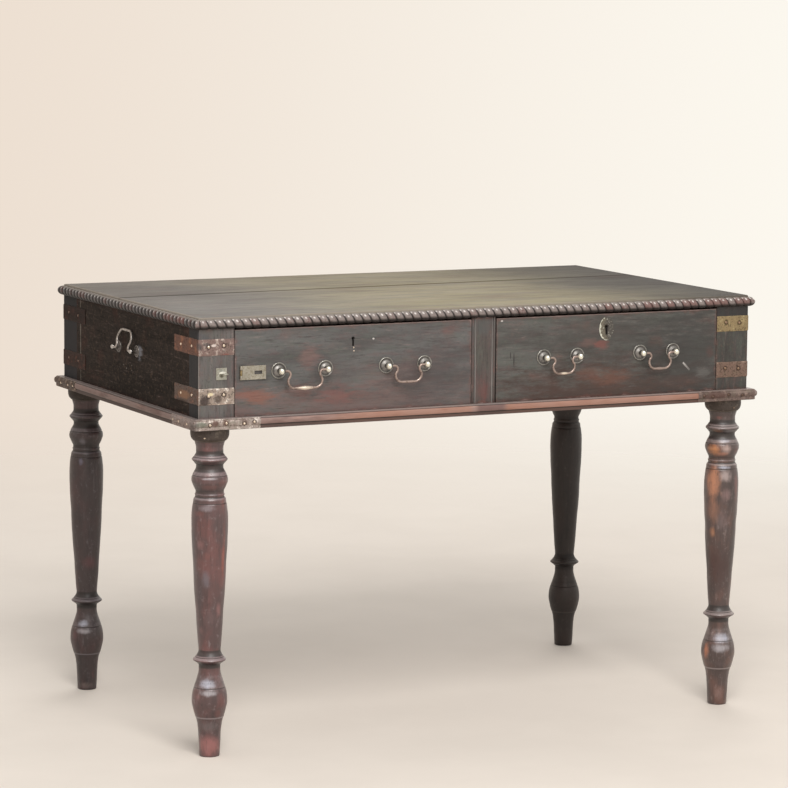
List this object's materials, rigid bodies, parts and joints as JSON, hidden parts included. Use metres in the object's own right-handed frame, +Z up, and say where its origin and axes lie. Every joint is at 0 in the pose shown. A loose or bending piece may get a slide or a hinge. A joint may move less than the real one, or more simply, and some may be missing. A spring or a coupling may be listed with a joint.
{
  "type": "campaign desk",
  "caption": "Free-standing campaign desk: a shallow drawer case with a rope-carved top edge and brass-bound corners, on turned screw-in legs.",
  "frame": {"origin": "on the floor, under the centre of the case", "axes": "+X to the right along the front, +Y from the front to the back, +Z up"},
  "size_m": [1.1438, 0.6974, 0.78],
  "materials": {
    "case_wood": "dark rosewood, worn wax",
    "leg_wood": "red-brown rosewood, worn wax",
    "inner_wood": "unpolished hardwood",
    "drawer_wood": "unpolished drawer lining",
    "handle_brass": "tarnished brass, rubbed bright where handled",
    "strap_brass": "dented brass with red-brown patina",
    "collar_metal": "blackened brass",
    "lock_iron": "dull iron"
  },
  "bodies": {
    "case": {"top_board_front": "case_wood", "top_board_back": "case_wood", "rope_bead_front": "case_wood", "rope_bead_back": "case_wood", "rope_bead_left": "case_wood", "rope_bead_right": "case_wood", "side_panel_left": "case_wood", "side_panel_right": "case_wood", "back_panel": "case_wood", "corner_post_front_left": "case_wood", "corner_post_front_right": "case_wood", "corner_post_back_left": "case_wood", "corner_post_back_right": "case_wood", "centre_muntin": "case_wood", "base_moulding_front": "case_wood", "base_moulding_back": "case_wood", "base_moulding_left": "case_wood", "base_moulding_right": "case_wood", "centre_partition": "inner_wood", "base_board": "inner_wood", "drawer_guides": "inner_wood", "drawer_stops": "inner_wood", "leg_front_left": "leg_wood", "leg_front_right": "leg_wood", "leg_back_left": "leg_wood", "leg_back_right": "leg_wood", "corner_straps_upper": "strap_brass", "corner_straps_lower": "strap_brass", "base_straps": "strap_brass", "leg_collars": "collar_metal", "hasp_staple_plate": "handle_brass", "hasp_staple": "handle_brass", "end_handle_posts_left": "handle_brass", "end_handle_posts_right": "handle_brass"},
    "drawer_left": {"drawer_left_front": "case_wood", "drawer_left_side_left": "drawer_wood", "drawer_left_side_right": "drawer_wood", "drawer_left_back": "drawer_wood", "drawer_left_bottom": "drawer_wood", "drawer_left_lock_case": "lock_iron", "drawer_left_handle_posts": "handle_brass", "hasp_fixed_leaf": "handle_brass", "hasp_pin": "handle_brass"},
    "drawer_right": {"drawer_right_front": "case_wood", "drawer_right_side_left": "drawer_wood", "drawer_right_side_right": "drawer_wood", "drawer_right_back": "drawer_wood", "drawer_right_bottom": "drawer_wood", "drawer_right_lock_case": "lock_iron", "drawer_right_handle_posts": "handle_brass", "drawer_right_keyhole_plate": "handle_brass"},
    "drawer_left_lock_bolt": {"drawer_left_lock_bolt": "lock_iron"},
    "drawer_right_lock_bolt": {"drawer_right_lock_bolt": "lock_iron"},
    "hasp_leaf": {"hasp_leaf": "handle_brass"},
    "end_bail_left": {"end_bail_left": "handle_brass"},
    "end_bail_right": {"end_bail_right": "handle_brass"},
    "drawer_left_bail_left": {"drawer_left_bail_left": "handle_brass"},
    "drawer_left_bail_right": {"drawer_left_bail_right": "handle_brass"},
    "drawer_right_bail_left": {"drawer_right_bail_left": "handle_brass"},
    "drawer_right_bail_right": {"drawer_right_bail_right": "handle_brass"}
  },
  "joints": [
    {"name": "drawer_left_slide", "type": "slide", "parent": "case", "child": "drawer_left", "axis": [0, -1, 0], "range_m": [0, 0.42]},
    {"name": "drawer_right_slide", "type": "slide", "parent": "case", "child": "drawer_right", "axis": [0, -1, 0], "range_m": [0, 0.42]},
    {"name": "drawer_left_bail_left_swing", "type": "hinge", "parent": "drawer_left", "child": "drawer_left_bail_left", "pos_m": [-0.3588, -0.345, 0.682], "axis": [-1, 0, 0], "range_deg": [-18, 198]},
    {"name": "drawer_left_bail_right_swing", "type": "hinge", "parent": "drawer_left", "child": "drawer_left_bail_right", "pos_m": [-0.1573, -0.345, 0.682], "axis": [-1, 0, 0], "range_deg": [-21, 201]},
    {"name": "drawer_right_bail_left_swing", "type": "hinge", "parent": "drawer_right", "child": "drawer_right_bail_left", "pos_m": [0.1573, -0.345, 0.682], "axis": [-1, 0, 0], "range_deg": [-21, 201]},
    {"name": "drawer_right_bail_right_swing", "type": "hinge", "parent": "drawer_right", "child": "drawer_right_bail_right", "pos_m": [0.3588, -0.345, 0.682], "axis": [-1, 0, 0], "range_deg": [-21, 201]},
    {"name": "end_bail_left_swing", "type": "hinge", "parent": "case", "child": "end_bail_left", "pos_m": [-0.5675, 0, 0.6915], "axis": [0, -1, 0], "range_deg": [0, 208]},
    {"name": "end_bail_right_swing", "type": "hinge", "parent": "case", "child": "end_bail_right", "pos_m": [0.5675, 0, 0.6915], "axis": [0, -1, 0], "range_deg": [-14, 194]},
    {"name": "hasp_swing", "type": "hinge", "parent": "drawer_left", "child": "hasp_leaf", "pos_m": [-0.4763, -0.3334, 0.681], "axis": [0, 0, -1], "range_deg": [0, 180]},
    {"name": "drawer_left_lock_bolt_slide", "type": "slide", "parent": "drawer_left", "child": "drawer_left_lock_bolt", "axis": [0, 0, 1], "range_m": [0, 0.009]},
    {"name": "drawer_right_lock_bolt_slide", "type": "slide", "parent": "drawer_right", "child": "drawer_right_lock_bolt", "axis": [0, 0, 1], "range_m": [0, 0.009]}
  ]
}
